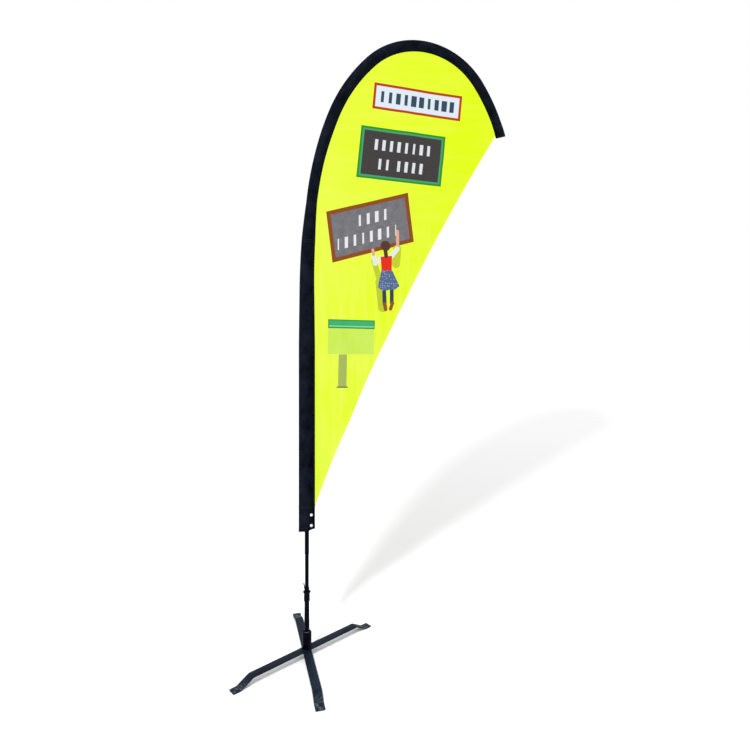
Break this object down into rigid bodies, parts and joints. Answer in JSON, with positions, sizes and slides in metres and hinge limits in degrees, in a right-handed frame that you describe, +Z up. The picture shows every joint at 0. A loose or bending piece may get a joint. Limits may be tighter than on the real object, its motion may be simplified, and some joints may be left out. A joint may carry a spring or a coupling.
{
  "type": "teardrop flag",
  "caption": "Teardrop-shaped banner flag on a curved sectional pole, turning on a ball-bearing spindle in a folding flat-bar cross base.",
  "frame": {"origin": "on the ground under the spindle axis, at the centre of the four feet", "axes": "+Z up along the pole, +X towards the flag's tip in the plane of the flag, +Y away from the side seen in the picture"},
  "size_m": [1.3364, 0.756, 2.8623],
  "materials": {
    "painted_steel": "semi-gloss dark blue-black powder coat, slightly scuffed at the feet",
    "hub_paint": "near-black powder coat",
    "zinc_steel": "zinc-plated steel",
    "bearing_steel": "ground and polished bearing steel",
    "spring_steel": "phosphated spring steel",
    "cage_brass": "machined brass",
    "rubber": "matt black nitrile rubber",
    "nylon": "natural nylon",
    "black_plastic": "matt black moulded nylon",
    "black_tube": "black anodised aluminium tube",
    "bare_tube": "bare aluminium",
    "fibreglass": "pultruded black fibreglass with fine lengthwise grain",
    "sleeve_fabric": "black woven polyester with a faint navy cast",
    "nickel": "nickel-plated brass",
    "flag_fabric": "printed neon-yellow warp-knit polyester"
  },
  "bodies": {
    "base": {"upper_bar": "painted_steel", "hub_weld": "painted_steel", "hub_housing": "hub_paint", "pivot_bolt": "zinc_steel", "bolt_washer": "zinc_steel", "bearing_outer_rings": "bearing_steel", "outer_spacer": "zinc_steel", "housing_circlip": "spring_steel", "dust_seal": "rubber"},
    "lower_leg": {"lower_bar": "painted_steel", "friction_washer": "nylon"},
    "spindle": {"spindle_shaft": "zinc_steel", "spindle_tube": "hub_paint", "socket_collar": "black_plastic", "bearing_inner_rings": "bearing_steel", "inner_spacer": "zinc_steel", "shaft_circlip": "spring_steel", "socket_stop": "rubber"},
    "ball_train": {"bearing_balls": "bearing_steel", "bearing_cages": "cage_brass"},
    "pole_foot": {"bottom_section": "black_tube", "bottom_plug": "black_plastic", "hook_collar": "black_plastic"},
    "flag": {"lower_ferrule": "black_tube", "lower_pole": "black_tube", "rod_stop_ring": "bare_tube", "bend_rod": "fibreglass", "tip_ferrule": "bare_tube", "tip_rod": "fibreglass", "tip_cap": "rubber", "sleeve_lower": "sleeve_fabric", "sleeve_crown": "sleeve_fabric", "sleeve_tip": "sleeve_fabric", "sleeve_cuff": "sleeve_fabric", "tip_patch": "sleeve_fabric", "eyelets": "nickel", "eyelet_washers": "nickel", "flag_panel": "flag_fabric"}
  },
  "joints": [
    {"name": "spindle_spin", "type": "hinge", "parent": "base", "child": "spindle", "pos_m": [0, 0, 0.1], "axis": [0, 0, 1], "continuous": true},
    {"name": "ball_roll", "type": "hinge", "parent": "base", "child": "ball_train", "pos_m": [0, 0, 0.0765], "axis": [0, 0, 1], "continuous": true},
    {"name": "leg_fold", "type": "hinge", "parent": "base", "child": "lower_leg", "pos_m": [0, 0, 0.026], "axis": [0, 0, 1], "range_deg": [-50, 106]},
    {"name": "pole_lift", "type": "slide", "parent": "spindle", "child": "pole_foot", "axis": [0, 0, 1], "range_m": [0, 0.12]},
    {"name": "section_pull", "type": "slide", "parent": "pole_foot", "child": "flag", "axis": [0, 0, 1], "range_m": [0, 0.12]}
  ],
  "couplings": [
    {"joint": "ball_roll", "follows": "spindle_spin", "ratio": 0.382}
  ]
}
